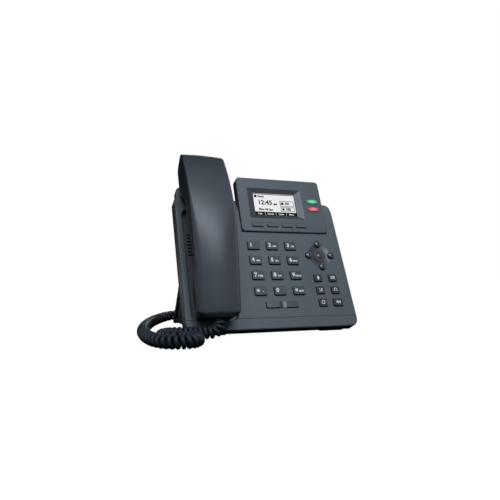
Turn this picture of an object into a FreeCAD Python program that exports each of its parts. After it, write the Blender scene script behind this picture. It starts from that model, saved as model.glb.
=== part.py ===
import FreeCAD, Part
import math
import os

from FreeCAD import Vector

# Desk telephone, millimetres, +Z up, standing on Z = 0.
# The front panel slopes. Most pieces are drawn flat on that panel, with u to the right, v up the slope
# and w out of the panel, and are then tilted to their place. The stand, the feet and the cord are drawn
# upright, with Y = 0 under the lower edge of the panel.

# Stance of the panel
tilt = 65.1
panel_lift = 5.3

# Base housing
base_width = 189.4
base_height = 154.5
base_depth = 18.0
parting_depth = 12.0
wall = 2.4
bottom_corner = 9.0
top_corner = 6.0
front_round = 1.8
back_round = 2.5
brow_height = 16.0
brow_drop = 5.0
seam_v = 12.0
seam_width = 0.5
assembly_gap = 0.2
contact_gap = 0.3

# Cradle trough for the handset, and the ear rest above it
rim_width = 6.0
trough_width = 49.0
trough_depth = 6.0
trough_low_v = 10.0
trough_high_v = 138.0
trough_corner = 8.0
trough_round = 3.0
ear_rest_side = 3.0
ear_rest_width = 45.0
ear_rest_top_v = 167.0
ear_rest_w = -2.6
ear_rest_corner = 6.0

# Loudspeaker behind the trough
grille_slot_count = 7
grille_slot_length = 40.0
grille_slot_width = 1.8
grille_slot_end = 0.8
grille_pitch = 4.0
grille_below_tab = 29.0
speaker_radius = 19.0
speaker_neck_radius = 12.0
speaker_rim = 2.5
speaker_height = 6.0

# Screen housing
pod_share = 0.5512
pod_side = 13.4
pod_low_v = 111.5
pod_height = 68.5
pod_lean = 3.1
pod_proud = 6.0
pod_sink = 6.9
pod_split = -1.0
pod_wall = 2.0
pod_corner = 4.5
pod_round = 1.0

# Screen
bevel_share = 0.6418
bevel_height = 38.5
bevel_depth = 2.5
window_share = 0.4943
window_height = 28.8
screen_share = 0.4334
screen_from_low = 35.9
lens_margin = 2.0
lens_thickness = 1.0
window_lip = 0.8
lcd_thickness = 4.6
screen_board_thickness = 1.6

# Keys: every cap has a flange under the panel and a foot above its dome
key_gap = 0.25
key_flange = 1.0
key_flange_height = 1.2
key_round = 0.5
key_corner = 1.2
key_travel = 1.0
dome_gap = 0.2
dome_height = 0.6
dome_radius = 2.6

# Dialling keys
digit_width = 13.4
digit_height = 10.0
digit_proud = 2.0
digit_share = -0.0671
digit_below_screen = 17.0
digit_pitch_share = 0.1151
digit_pitch_v = 17.75

# Soft keys under the screen
soft_width = 13.2
soft_height = 5.2
soft_proud = 1.5
soft_first_share = 0.181
soft_pitch_share = 0.1705
soft_from_low = 8.4
soft_stem = 2.0

# Lit line keys beside the screen
line_width = 14.0
line_height = 5.6
line_corner = 2.5
line_proud = 1.2
line_from_right = 12.85
line_high_from_low = 40.4
line_pitch = 10.1

# Navigation buttons
nav_side = 29.2
nav_below_screen = 28.1
nav_reach = 14.0
nav_radius = 3.9
nav_proud = 2.4
nav_ring_radius = 13.6
nav_ring_dish = 1.1
nav_ring_recess = 1.5
nav_disc_radius = 7.4
nav_ok_radius = 3.6
nav_ok_proud = 0.6

# Function keys
function_width = 9.6
function_height = 8.6
function_proud = 1.8
function_side = 38.0
function_below_nav = 27.9
function_pitch_u = 18.0
function_pitch_v = 14.35
speaker_key_width = 11.2

# Volume rocker
rocker_v = 25.6
rocker_width = 36.0
rocker_height = 6.6
rocker_proud = 1.4
rocker_gap = 0.4
rocker_saddle = 6.0
rocker_dip = 0.8
rocker_dip_width = 9.0
rocker_arm = 12.0

# Boards
mat_thickness = 0.8
board_thickness = 1.6
board_margin = 2.5
mat_margin = 6.0

# Screws of the housing
screw_radius = 1.3
screw_gap = 0.05
screw_head_radius = 2.7
screw_head_height = 1.8
screw_bite = 7.0
boss_radius = 3.4
screw_right_side = 7.0
screw_low_v = 12.0
screw_high_v = 125.0

# Socket block on the back
block_left_u = -32.0
block_right_u = 70.0
block_low_v = 58.0
block_high_v = 100.0
block_depth = 18.0
block_round = 3.0
block_inner_round = 1.0
socket_gap = 0.15
socket_wall = 1.8
cord_socket_u = (-20.0, -4.0)
cord_socket_width = 7.9
cord_socket_height = 6.8
cord_socket_depth = 11.0
cord_socket_w = -27.5
network_socket_u = (18.0, 38.0)
network_socket_width = 11.8
network_socket_height = 8.2
network_socket_depth = 13.5
network_socket_w = -26.0
power_u = 58.0
power_w = -26.0
power_body = 9.0
power_radius = 3.1
power_pin_radius = 1.0
power_depth = 9.5

# Hook switch
hook_v = 30.0
hook_width = 8.0
hook_length = 12.0
hook_rise = 3.5
hook_guard = 1.0
tab_v = 126.0
tab_width = 14.0
tab_thickness = 2.4
tab_proud = 4.0

# Microphone in the bottom wall
microphone_u = 60.0
microphone_radius = 3.0
microphone_height = 2.6
microphone_hole = 0.8
microphone_w = -6.0

# Handset
handset_low_v = 12.0
handset_high_v = 192.5
handset_crest_v = 105.5
handset_crest_w = 43.3
handset_arch = 256.0
handset_half_mid = 23.7
handset_half_high = 23.4
handset_half_low = 21.6
handset_crown = 58.0
handset_crown_high = 180.0
handset_side_round = 9.0
handset_side_round_high = 2.5
handset_back_round = 3.0
handset_draft_low = 4.0
handset_draft_high = 0.6
handset_left = 1.2
handset_wall = 2.2
handset_split = 15.0
cup_gap = 0.45
grip_w = 15.0
grip_low_v = 60.0
grip_high_v = 138.0
mouth_cup_w = cup_gap - trough_depth
mouth_cup_v = 40.0
ear_cup_w = ear_rest_w + cup_gap
ear_cup_v = 158.0
mouth_end = 4.0
mouth_ease = 1.4
mouth_lift = 2.8
ear_end = 9.0
ear_drop = 4.0
ear_lift = 16.0
ramp_steps = 6

# Inside of the handset
receiver_v = 169.0
receiver_radius = 13.5
receiver_height = 9.0
receiver_seat = 2.6
sound_hole = 1.2
sound_ring = 6.0
capsule_hole = 0.6
capsule_hole_ring = 2.2
sound_hole_count = 6
capsule_v = 28.0
capsule_radius = 4.8
capsule_height = 4.5
capsule_seat = 2.0
seat_ring = 1.6
handset_screw_v = (70.0, 124.0)
handset_screw_radius = 1.2
handset_screw_head = 2.4
handset_screw_head_height = 1.6
handset_boss = 3.4
handset_jack_w = 16.5
handset_jack_wall = 1.5
handset_jack_depth = 11.0

# Stand and feet
stand_half_width = 78.0
stand_thickness = 2.6
stand_reach = 149.0
stand_foot = 18.0
stand_clear = 2.6
stand_top_v = 118.0
stand_top_depth = 17.0
stand_low_v = 10.0
stand_window_top = 46.0
stand_window_side = 12.0
stand_slot_low = 7.0
stand_slot_high = 52.0
stand_slot_width = 14.0
stand_slot_top_width = 4.0
stand_slot_behind = 9.0
pad_thickness = 1.0
pad_length = 10.0
foot_thickness = 0.9
foot_width = 26.0
foot_length = 8.0
foot_u = 66.0

# Cord: outer diameter of the curl, its four-way plugs, and the route of its middle line
curl_diameter = 12.6
plug_width = 7.6
plug_height = 6.5
plug_tail = 4.0
desk_gap = 0.1
desk_z = curl_diameter / 2 + desk_gap
bend_share = 0.45
exit_run = 8.0
fold_run = 16.0
fold_x = -108.0
fold_back_x = -111.0
fold_front_y = -11.0

left_u = -base_width / 2
right_u = base_width / 2
trough_u0 = left_u + rim_width
trough_u1 = trough_u0 + trough_width
cradle_u = (trough_u0 + trough_u1) / 2
handset_u = cradle_u - handset_left
pod_width = base_width * pod_share
pod_u1 = right_u - pod_side
pod_u0 = pod_u1 - pod_width
pod_high_v = pod_low_v + pod_height
bevel_width = pod_width * bevel_share
window_width = pod_width * window_share
screen_u = pod_u0 + pod_width * screen_share
screen_v = pod_low_v + screen_from_low
soft_first_u = pod_u0 + pod_width * soft_first_share
soft_pitch = pod_width * soft_pitch_share
digit_u = base_width * digit_share
digit_v = pod_low_v - digit_below_screen
digit_pitch_u = base_width * digit_pitch_share
nav_u = right_u - nav_side
nav_v = pod_low_v - nav_below_screen
function_u = right_u - function_side
function_v = nav_v - function_below_nav
rocker_u = digit_u + digit_pitch_u
screw_left_u = (trough_u1 + pod_u0) / 2
grille_v = tab_v - grille_below_tab
panel_under = -wall
flange_top = panel_under - contact_gap
flange_low = flange_top - key_flange_height
dome_top = flange_low - key_travel - dome_gap
mat_top = dome_top - dome_height
mat_low = mat_top - mat_thickness
board_top = mat_low - assembly_gap
board_low = board_top - board_thickness
cover_inside = -base_depth + wall
block_back = -base_depth - block_depth
socket_face = block_low_v
sine = math.sin(math.radians(tilt))
cosine = math.cos(math.radians(tilt))
parts = {}


def box(u0, u1, v0, v1, w0, w1):
    """Plain block between two corners."""
    return Part.makeBox(u1 - u0, v1 - v0, w1 - w0, Vector(u0, v0, w0))


def disc(u, v, w0, w1, radius):
    """Round bar that stands on the panel."""
    return Part.makeCylinder(radius, w1 - w0, Vector(u, v, w0), Vector(0, 0, 1))


def corner_point(u, v, w, radius, angle):
    """Point at an angle on a corner's circle."""
    turn = math.radians(angle)
    return Vector(u + radius * math.cos(turn), v + radius * math.sin(turn), w)


def rounded_wire(u0, u1, v0, v1, w, low_radius, high_radius):
    """Rectangle with rounded corners, one radius for the lower pair and one for the upper pair."""
    centres = [
        (u0 + low_radius, v0 + low_radius, low_radius, 180),
        (u1 - low_radius, v0 + low_radius, low_radius, 270),
        (u1 - high_radius, v1 - high_radius, high_radius, 0),
        (u0 + high_radius, v1 - high_radius, high_radius, 90),
    ]
    edges = []
    for index, (u, v, radius, angle) in enumerate(centres):
        start = corner_point(u, v, w, radius, angle)
        middle = corner_point(u, v, w, radius, angle + 45)
        end = corner_point(u, v, w, radius, angle + 90)
        edges.append(Part.Arc(start, middle, end).toShape())
        nu, nv, next_radius, next_angle = centres[(index + 1) % len(centres)]
        edges.append(Part.LineSegment(end, corner_point(nu, nv, w, next_radius, next_angle)).toShape())
    return Part.Wire(edges)


def rounded(u0, u1, v0, v1, w0, w1, low_radius, high_radius=None):
    """Block with rounded upright edges."""
    wire = rounded_wire(u0, u1, v0, v1, w0, low_radius, high_radius or low_radius)
    return Part.Face(wire).extrude(Vector(0, 0, w1 - w0))


def edges_at(shape, w):
    """Edges that lie wholly at one height over the panel."""
    return [edge for edge in shape.Edges if max(abs(p.Point.z - w) for p in edge.Vertexes) < 1e-4]


def joined(shapes):
    """One solid from several that touch."""
    return shapes[0].multiFuse(shapes[1:]).removeSplitter()


def group(shapes):
    """Separate solids that share one node."""
    return Part.Compound(shapes)


def on_desk(shape):
    """Tilts a piece that was drawn flat on the panel."""
    turned = shape.copy()
    turned.rotate(Vector(0, 0, 0), Vector(1, 0, 0), tilt)
    turned.translate(Vector(0, 0, panel_lift))
    return turned


def leaned(shape):
    """Leans a piece of the screen housing, so that its face stands further out at the top than below."""
    turned = shape.copy()
    turned.rotate(Vector(0, pod_high_v, pod_proud), Vector(1, 0, 0), pod_lean)
    return turned


def desk_point(u, v, w):
    """Place on the desk of a point of the panel."""
    return Vector(u, v * cosine - w * sine, panel_lift + v * sine + w * cosine)


def above_desk(height):
    """Everything higher than a level over the desk, in the panel's own directions."""
    size = 4 * base_width
    slab = box(-size, size, -size, size, height - panel_lift, size)
    slab.rotate(Vector(0, 0, 0), Vector(1, 0, 0), -tilt)
    return slab


# Sizes of the keys, each with its middle and its height over the face around it
digit_names = [["key_1", "key_2", "key_3"], ["key_4", "key_5", "key_6"],
               ["key_7", "key_8", "key_9"], ["key_star", "key_0", "key_hash"]]
function_names = [["mute_key", "message_key"], ["transfer_key", "hold_key"], ["redial_key", "speaker_key"]]
nav_names = {"nav_right": 0, "nav_up": 90, "nav_left": 180, "nav_down": 270}
panel_keys = {}
for row, names in enumerate(digit_names):
    for column, name in enumerate(names):
        middle = (digit_u + column * digit_pitch_u, digit_v - row * digit_pitch_v)
        panel_keys[name] = (middle, digit_width, digit_height, digit_proud)
for row, names in enumerate(function_names):
    for column, name in enumerate(names):
        middle = (function_u + column * function_pitch_u, function_v - row * function_pitch_v)
        width = speaker_key_width if name == "speaker_key" else function_width
        panel_keys[name] = (middle, width, function_height, function_proud)
round_keys = {"nav_ok": ((nav_u, nav_v), nav_ok_radius, nav_ok_proud)}
for name, angle in nav_names.items():
    middle = corner_point(nav_u, nav_v, 0, nav_reach, angle)
    round_keys[name] = ((middle.x, middle.y), nav_radius, nav_proud)
screw_columns = (screw_left_u, right_u - screw_right_side)
screw_places = [(u, v) for u in screw_columns for v in (screw_low_v, screw_high_v)]


def block_at(middle, width, height, w0, w1, corner, grow=0.0):
    """Rounded block about its middle, grown on every side."""
    u, v = middle
    half_u = width / 2 + grow
    half_v = height / 2 + grow
    return rounded(u - half_u, u + half_u, v - half_v, v + half_v, w0, w1, corner + grow)


def base_outline(w0, w1, inset=0.0):
    """Outline of the housing between two heights."""
    return rounded(left_u + inset, right_u - inset, inset, base_height - inset, w0, w1,
                   bottom_corner - inset, top_corner - inset)


def brow_cut(inset=0.0):
    """Wedge that slopes the top of the panel back."""
    size = base_width
    steep = math.hypot(brow_height, brow_drop) / brow_height
    low = base_height - brow_height - inset * (steep - 1) * brow_height / brow_drop
    points = [Vector(-size, low, -inset), Vector(-size, low + brow_height * 2, -inset - brow_drop * 2),
              Vector(-size, low + brow_height * 2, wall * 2), Vector(-size, low, wall * 2)]
    return Part.Face(Part.makePolygon(points + points[:1])).extrude(Vector(2 * size, 0, 0))


def ear_rest(inset=0.0):
    """Block above the cradle that the ear end of the handset leans on."""
    u0 = left_u + rim_width - ear_rest_side + inset
    return rounded(u0, u0 + ear_rest_width - 2 * inset, trough_high_v + inset, ear_rest_top_v - inset,
                   -parting_depth, ear_rest_w - inset, ear_rest_corner - inset)


def trough_space(grow=0.0):
    """Hollow that the handset lies in."""
    return rounded(trough_u0 - grow, trough_u1 + grow, trough_low_v - grow, trough_high_v + grow,
                   -trough_depth - grow, wall, trough_corner + grow)


def pod_space(grow=0.0):
    """Room in the housing that the screen housing sits in."""
    return leaned(box(pod_u0 - grow, pod_u1 + grow, pod_low_v - grow, base_height + base_depth,
                      -pod_sink - grow, pod_proud))


# Front case of the base, one moulding with the cradle and the ear rest
body = base_outline(-parting_depth, 0)
body = body.makeFillet(front_round, edges_at(body, 0))
body = body.cut(brow_cut())
body = body.fuse(ear_rest())
hollow = base_outline(-parting_depth, -wall, wall).cut(brow_cut(wall))
hollow = hollow.fuse(ear_rest(wall))
hollow = hollow.cut(trough_space(wall))
hollow = hollow.cut(pod_space(wall + assembly_gap))
hollow = hollow.common(above_desk(foot_thickness + wall))
body = body.common(above_desk(foot_thickness)).cut(hollow)
trough = trough_space()
body = body.cut(trough.makeFillet(trough_round, edges_at(trough, -trough_depth)))
body = body.cut(pod_space(assembly_gap))
bosses = [disc(u, v, -parting_depth, -wall, boss_radius) for u, v in screw_places]
body = body.multiFuse(bosses)
screw_tip = screw_bite - parting_depth
cuts = [disc(u, v, -parting_depth, screw_tip, screw_radius + screw_gap) for u, v in screw_places]
for middle, width, height, proud in panel_keys.values():
    cuts.append(block_at(middle, width, height, -wall * 2, wall, key_corner, key_gap))
for (u, v), radius, proud in round_keys.values():
    cuts.append(disc(u, v, -wall * 2, wall, radius + key_gap))
cuts.append(disc(nav_u, nav_v, -nav_ring_recess, wall, nav_ring_radius + assembly_gap))
rocker_middle = (rocker_u, rocker_v)
cuts.append(block_at(rocker_middle, rocker_width, rocker_height, -wall * 2, wall, key_corner, rocker_gap))
first_slot = grille_v - (grille_slot_count - 1) * grille_pitch / 2
for index in range(grille_slot_count):
    cuts.append(block_at((cradle_u, first_slot + index * grille_pitch), grille_slot_length, grille_slot_width,
                         -trough_depth - wall * 2, -trough_depth + wall, grille_slot_end))
cuts.append(block_at((cradle_u, hook_v), hook_width, hook_length,
                     -trough_depth - wall * 2, -trough_depth + wall, key_corner, key_gap))
cuts.append(box(cradle_u - tab_width / 2 - assembly_gap, cradle_u + tab_width / 2 + assembly_gap,
                tab_v - tab_thickness / 2 - assembly_gap, tab_v + tab_thickness / 2 + assembly_gap,
                -trough_depth - wall * 2, -trough_depth + wall))
cuts.append(Part.makeCylinder(microphone_hole, wall * 3, Vector(microphone_u, -wall, microphone_w),
                              Vector(0, 1, 0)))
cuts.append(box(left_u * 2, right_u * 2, seam_v - seam_width / 2, seam_v + seam_width / 2, -seam_width, wall))
parts["upper_housing"] = on_desk(body.cut(cuts).removeSplitter())


# Back case with the socket block
def socket_block(inset, corner):
    """Raised block on the back that holds the sockets."""
    return rounded(block_left_u + inset, block_right_u - inset, block_low_v + inset, block_high_v - inset,
                   block_back + inset, cover_inside, corner)


cord_jack_width = cord_socket_width + 2 * socket_wall
cord_jack_height = cord_socket_height + 2 * socket_wall
network_jack_width = network_socket_width + 2 * socket_wall
network_jack_height = network_socket_height + 2 * socket_wall
power_jack_height = power_body + socket_wall
jacks = [(u, cord_socket_w, cord_jack_width, cord_jack_height) for u in cord_socket_u]
jacks += [(u, network_socket_w, network_jack_width, network_jack_height) for u in network_socket_u]
jacks += [(power_u, power_w, power_body, power_jack_height)]
cover = base_outline(-base_depth, -parting_depth - assembly_gap)
cover = cover.makeFillet(back_round, edges_at(cover, -base_depth))
cover = cover.fuse(socket_block(0, block_round))
cover_hollow = base_outline(cover_inside, -parting_depth, wall)
cover_hollow = cover_hollow.common(above_desk(foot_thickness + wall))
cover_hollow = cover_hollow.fuse(socket_block(wall, block_inner_round))
cover = cover.common(above_desk(foot_thickness)).cut(cover_hollow)
cover_low = -parting_depth - assembly_gap
boss_foot = cover_inside - wall / 2
cover = cover.multiFuse([disc(u, v, boss_foot, cover_low, boss_radius) for u, v in screw_places])
cover_cuts = []
for u, v in screw_places:
    cover_cuts.append(disc(u, v, -base_depth - wall, cover_low + wall, screw_radius + assembly_gap))
    cover_cuts.append(disc(u, v, -base_depth - wall, -base_depth + screw_head_height + assembly_gap,
                           screw_head_radius + assembly_gap))
for u, w, width, height in jacks:
    cover_cuts.append(box(u - width / 2 - socket_gap, u + width / 2 + socket_gap,
                          socket_face - wall, socket_face + wall * 2,
                          w - height / 2 - socket_gap, w + height / 2 + socket_gap))
parts["lower_housing"] = on_desk(cover.cut(cover_cuts).removeSplitter())

screws = []
for u, v in screw_places:
    head_low = -base_depth + assembly_gap / 2
    shank = disc(u, v, head_low, screw_tip - assembly_gap, screw_radius)
    screws.append(disc(u, v, head_low, head_low + screw_head_height, screw_head_radius).fuse(shank))
parts["housing_screws"] = on_desk(group(screws))


# Screen housing: front frame with the bevelled window, and its back cover
def bevel_space():
    """Sloping recess around the window."""
    outer = [screen_u - bevel_width / 2, screen_u + bevel_width / 2,
             screen_v - bevel_height / 2, screen_v + bevel_height / 2]
    inner = [screen_u - window_width / 2, screen_u + window_width / 2,
             screen_v - window_height / 2, screen_v + window_height / 2]
    wires = []
    for (u0, u1, v0, v1), w in ((outer, pod_proud), (inner, pod_proud - bevel_depth)):
        points = [Vector(u0, v0, w), Vector(u1, v0, w), Vector(u1, v1, w), Vector(u0, v1, w)]
        wires.append(Part.makePolygon(points + points[:1]))
    return Part.makeLoft(wires, True, True)


def screen_frame(width, height, margin, w0, w1):
    """Block about the middle of the screen."""
    return box(screen_u - width / 2 - margin, screen_u + width / 2 + margin,
               screen_v - height / 2 - margin, screen_v + height / 2 + margin, w0, w1)


soft_keys = {}
for index in range(4):
    middle = (soft_first_u + index * soft_pitch, pod_low_v + soft_from_low)
    soft_keys[f"soft_key_{index + 1}"] = middle
line_keys = {}
for index in range(2):
    middle = (pod_u1 - line_from_right, pod_low_v + line_high_from_low - index * line_pitch)
    line_keys[f"line_key_{index + 1}"] = middle
window_low = pod_proud - bevel_depth - window_lip
pod_under = pod_proud - pod_wall
bezel = rounded(pod_u0, pod_u1, pod_low_v, pod_high_v, pod_split, pod_proud, pod_corner)
bezel = bezel.makeFillet(pod_round, edges_at(bezel, pod_proud))
bezel_hollow = rounded(pod_u0 + pod_wall, pod_u1 - pod_wall, pod_low_v + pod_wall, pod_high_v - pod_wall,
                       pod_split, pod_under, pod_corner - pod_wall)
bezel_hollow = bezel_hollow.cut(screen_frame(bevel_width, bevel_height, 0, window_low, pod_proud))
bezel_cuts = [bevel_space(), screen_frame(window_width, window_height, 0, 0, pod_proud)]
for middle in soft_keys.values():
    bezel_cuts.append(block_at(middle, soft_width, soft_height, 0, pod_proud * 2, key_corner / 2, key_gap))
for middle in line_keys.values():
    bezel_cuts.append(block_at(middle, line_width, line_height, 0, pod_proud * 2, line_corner, key_gap))
parts["screen_bezel"] = on_desk(leaned(bezel.cut(bezel_hollow).cut(bezel_cuts).removeSplitter()))

pod_floor = -pod_sink + pod_wall
back = rounded(pod_u0, pod_u1, pod_low_v, pod_high_v, -pod_sink, pod_split - assembly_gap / 2, pod_corner)
back = back.makeFillet(back_round, edges_at(back, -pod_sink))
back = back.cut(rounded(pod_u0 + pod_wall, pod_u1 - pod_wall, pod_low_v + pod_wall, pod_high_v - pod_wall,
                        pod_floor, pod_split, pod_corner - pod_wall))
parts["screen_back_cover"] = on_desk(leaned(back))

lens_top = window_low - assembly_gap / 2
lens_low = lens_top - lens_thickness
lcd_top = lens_low - assembly_gap / 2
lcd_low = lcd_top - lcd_thickness
lens = screen_frame(window_width, window_height, lens_margin, lens_low, lens_top)
parts["lcd_lens"] = on_desk(leaned(lens))
display = screen_frame(window_width, window_height, lens_margin, lcd_low, lcd_top)
parts["lcd_module"] = on_desk(leaned(display))
screen_board_top = lcd_low - assembly_gap / 2
screen_board_low = screen_board_top - screen_board_thickness
parts["screen_board"] = on_desk(leaned(rounded(
    pod_u0 + pod_wall + assembly_gap, pod_u1 - pod_wall - assembly_gap,
    pod_low_v + pod_wall + assembly_gap, pod_high_v - pod_wall - assembly_gap,
    screen_board_low, screen_board_top, pod_corner - pod_wall)))


# Keys of the panel
def cap(shape, top):
    """Cap with its upper edges eased."""
    return shape.makeFillet(key_round, edges_at(shape, top))


for name, (middle, width, height, proud) in panel_keys.items():
    top = cap(block_at(middle, width, height, flange_low, proud, key_corner), proud)
    flange = block_at(middle, width, height, flange_low, flange_top, key_corner, key_flange)
    parts[name] = on_desk(top.fuse(flange).removeSplitter())
for name, ((u, v), radius, proud) in round_keys.items():
    top = cap(disc(u, v, flange_low, proud, radius), proud)
    parts[name] = on_desk(top.fuse(disc(u, v, flange_low, flange_top, radius + key_flange)).removeSplitter())

ring = disc(nav_u, nav_v, assembly_gap / 2 - nav_ring_recess, 0, nav_ring_radius)
sphere_radius = (nav_ring_radius ** 2 + nav_ring_dish ** 2) / (2 * nav_ring_dish)
ring = ring.cut(Part.makeSphere(sphere_radius, Vector(nav_u, nav_v, sphere_radius - nav_ring_dish)))
ring = ring.fuse(disc(nav_u, nav_v, assembly_gap / 2 - nav_ring_recess, 0, nav_disc_radius))
ring_cuts = [disc(u, v, -wall, wall, radius + key_gap) for (u, v), radius, proud in round_keys.values()]
parts["nav_ring"] = on_desk(ring.cut(ring_cuts).removeSplitter())

rocker = block_at(rocker_middle, rocker_width, rocker_height, panel_under, rocker_proud, key_corner)
rocker = rocker.makeFillet(key_round, edges_at(rocker, rocker_proud))
dip_radius = ((rocker_dip_width / 2) ** 2 + rocker_dip ** 2) / (2 * rocker_dip)
dip_axis = Vector(rocker_u, rocker_v - rocker_height, rocker_proud + dip_radius - rocker_dip)
rocker = rocker.cut(Part.makeCylinder(dip_radius, rocker_height * 2, dip_axis, Vector(0, 1, 0)))
saddle = box(rocker_u - rocker_saddle / 2, rocker_u + rocker_saddle / 2,
             rocker_v - rocker_height / 2 - rocker_gap - key_flange,
             rocker_v + rocker_height / 2 + rocker_gap + key_flange, flange_low, flange_top)
neck = box(rocker_u - rocker_saddle / 2, rocker_u + rocker_saddle / 2, rocker_v - rocker_height / 2,
           rocker_v + rocker_height / 2, flange_low, panel_under)
parts["volume_rocker"] = on_desk(joined([rocker, saddle, neck]))


# Keys of the screen housing
pod_flange_top = pod_under - contact_gap
pod_flange_low = pod_flange_top - key_flange_height
stem_low = screen_board_top + key_travel + dome_gap
for name, middle in soft_keys.items():
    u, v = middle
    blank = block_at(middle, soft_width, soft_height, pod_flange_low, pod_proud + soft_proud, key_corner / 2)
    high = v + soft_height / 2
    low = v - soft_height / 2
    slope = [Vector(u - soft_width, high + wall, pod_proud - soft_proud * wall / soft_height),
             Vector(u - soft_width, low - wall, pod_proud + soft_proud * (1 + wall / soft_height)),
             Vector(u - soft_width, low - wall, pod_proud * 3),
             Vector(u - soft_width, high + wall, pod_proud * 3)]
    wedge = Part.Face(Part.makePolygon(slope + slope[:1])).extrude(Vector(2 * soft_width, 0, 0))
    flange = block_at(middle, soft_width, soft_height, pod_flange_low, pod_flange_top,
                      key_corner / 2, key_flange)
    stem = disc(u, v, stem_low, pod_flange_top, soft_stem)
    parts[name] = on_desk(leaned(joined([blank.cut(wedge), flange, stem])))
for name, middle in line_keys.items():
    u, v = middle
    pill_top = pod_proud + line_proud
    pill = block_at(middle, line_width, line_height, pod_flange_low, pill_top, line_corner)
    pill = pill.makeFillet(key_round, edges_at(pill, pill_top))
    flange = block_at(middle, line_width, line_height, pod_flange_low, pod_flange_top,
                      line_corner, key_flange)
    parts[name] = on_desk(leaned(joined([pill, flange, disc(u, v, stem_low, pod_flange_top, soft_stem)])))

# Silicone mat with a dome under every key of the panel, and the main board behind it
key_places = [value[0] for value in panel_keys.values()] + [value[0] for value in round_keys.values()]
key_places += [(rocker_u - rocker_arm, rocker_v), (rocker_u + rocker_arm, rocker_v)]
mat_u0 = min(u for u, v in key_places) - digit_width / 2 - mat_margin / 2
mat_u1 = max(u for u, v in key_places) + mat_margin
mat_v0 = min(v for u, v in key_places) - mat_margin
mat_v1 = max(v for u, v in key_places) + mat_margin
mat = rounded(mat_u0, mat_u1, mat_v0, mat_v1, mat_low, mat_top, key_corner)
mat = joined([mat] + [disc(u, v, mat_top, dome_top, dome_radius) for u, v in key_places])
boss_room = group([disc(u, v, -parting_depth, 0, boss_radius + contact_gap) for u, v in screw_places])
parts["keypad_mat"] = on_desk(mat.cut(boss_room))
board = box(trough_u1 + wall + assembly_gap, right_u - wall - board_margin, screw_low_v,
            pod_low_v - wall - board_margin, board_low, board_top)
parts["main_board"] = on_desk(board.cut(boss_room))

# Loudspeaker, microphone and hook switch of the base
speaker_top = -trough_depth - wall - assembly_gap
speaker = disc(cradle_u, grille_v, speaker_top - speaker_rim, speaker_top, speaker_radius)
speaker_low = speaker_top - speaker_height
speaker = speaker.fuse(disc(cradle_u, grille_v, speaker_low, speaker_top, speaker_neck_radius))
parts["speaker_driver"] = on_desk(speaker.removeSplitter())
microphone_place = Vector(microphone_u, wall + assembly_gap, microphone_w)
parts["base_microphone"] = on_desk(Part.makeCylinder(microphone_radius, microphone_height, microphone_place,
                                                     Vector(0, 1, 0)))
plunger_low = -trough_depth - wall - contact_gap - hook_rise
plunger = block_at((cradle_u, hook_v), hook_width, hook_length,
                   plunger_low - key_flange_height, -trough_depth, key_corner)
plunger = plunger.fuse(block_at((cradle_u, hook_v), hook_width, hook_length,
                                plunger_low - key_flange_height, plunger_low, key_corner, hook_guard))
parts["hook_plunger"] = on_desk(plunger.removeSplitter())
tab = box(cradle_u - tab_width / 2, cradle_u + tab_width / 2,
          tab_v - tab_thickness / 2, tab_v + tab_thickness / 2,
          -trough_depth - wall - tab_thickness, tab_proud - trough_depth)
tab_foot = box(cradle_u - tab_width / 2 - tab_thickness, cradle_u + tab_width / 2 + tab_thickness,
               tab_v - tab_thickness, tab_v + tab_thickness,
               -trough_depth - wall - tab_thickness, -trough_depth - wall - assembly_gap)
parts["hook_tab"] = on_desk(tab.fuse(tab_foot).removeSplitter())


# Sockets
def socket(u, w, width, height, opening_width, opening_height, depth):
    """Moulded socket that opens at the lower face of its block."""
    shell = box(u - width / 2, u + width / 2, socket_face, socket_face + depth + socket_wall,
                w - height / 2, w + height / 2)
    return shell.cut(box(u - opening_width / 2, u + opening_width / 2,
                         socket_face - wall, socket_face + depth,
                         w - opening_height / 2, w + opening_height / 2))


parts["handset_ports"] = on_desk(group([
    socket(u, cord_socket_w, cord_jack_width, cord_jack_height, cord_socket_width, cord_socket_height,
           cord_socket_depth) for u in cord_socket_u]))
parts["network_ports"] = on_desk(group([
    socket(u, network_socket_w, network_jack_width, network_jack_height, network_socket_width,
           network_socket_height, network_socket_depth) for u in network_socket_u]))
power = box(power_u - power_body / 2, power_u + power_body / 2, socket_face,
            socket_face + power_depth + socket_wall * 2,
            power_w - power_jack_height / 2, power_w + power_jack_height / 2)
power_mouth = Vector(power_u, socket_face - wall, power_w)
power = power.cut(Part.makeCylinder(power_radius, power_depth + wall, power_mouth, Vector(0, 1, 0)))
pin_tip = Vector(power_u, socket_face + socket_wall, power_w)
power_pin = Part.makeCylinder(power_pin_radius, power_depth, pin_tip, Vector(0, 1, 0))
parts["power_jack"] = on_desk(power.fuse(power_pin).removeSplitter())


# Handset: an arched bar with a crowned face, a hollow for the fingers, and a cup at each end
def smooth(value, start, end):
    """Goes from 0 at the start to 1 at the end, level at both."""
    share = min(1.0, max(0.0, (value - start) / (end - start)))
    return share * share * (3 - 2 * share)


def crest(v):
    """Height of the middle of the face."""
    return handset_crest_w - handset_arch + math.sqrt(handset_arch ** 2 - (v - handset_crest_v) ** 2)


def back_height(v):
    """Height of the back, low at the two cups."""
    rise = grip_w * (1 - smooth(v, grip_high_v, ear_cup_v)) + ear_cup_w * smooth(v, grip_high_v, ear_cup_v)
    low = 1 - smooth(v, mouth_cup_v, grip_low_v)
    return rise + (mouth_cup_w - rise) * low


def half_width(v):
    """Half of the width, which grows from the mouth end to the ear end."""
    low_part = (handset_half_mid - handset_half_low) * smooth(v, handset_low_v, handset_crest_v)
    high_part = (handset_half_high - handset_half_mid) * smooth(v, handset_crest_v, handset_high_v)
    return handset_half_low + low_part + high_part


def towards_ear(v, low_value, high_value):
    """Value that changes along the grip from the mouth end's to the ear end's."""
    return low_value + (high_value - low_value) * smooth(v, grip_low_v, ear_cup_v)


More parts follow.
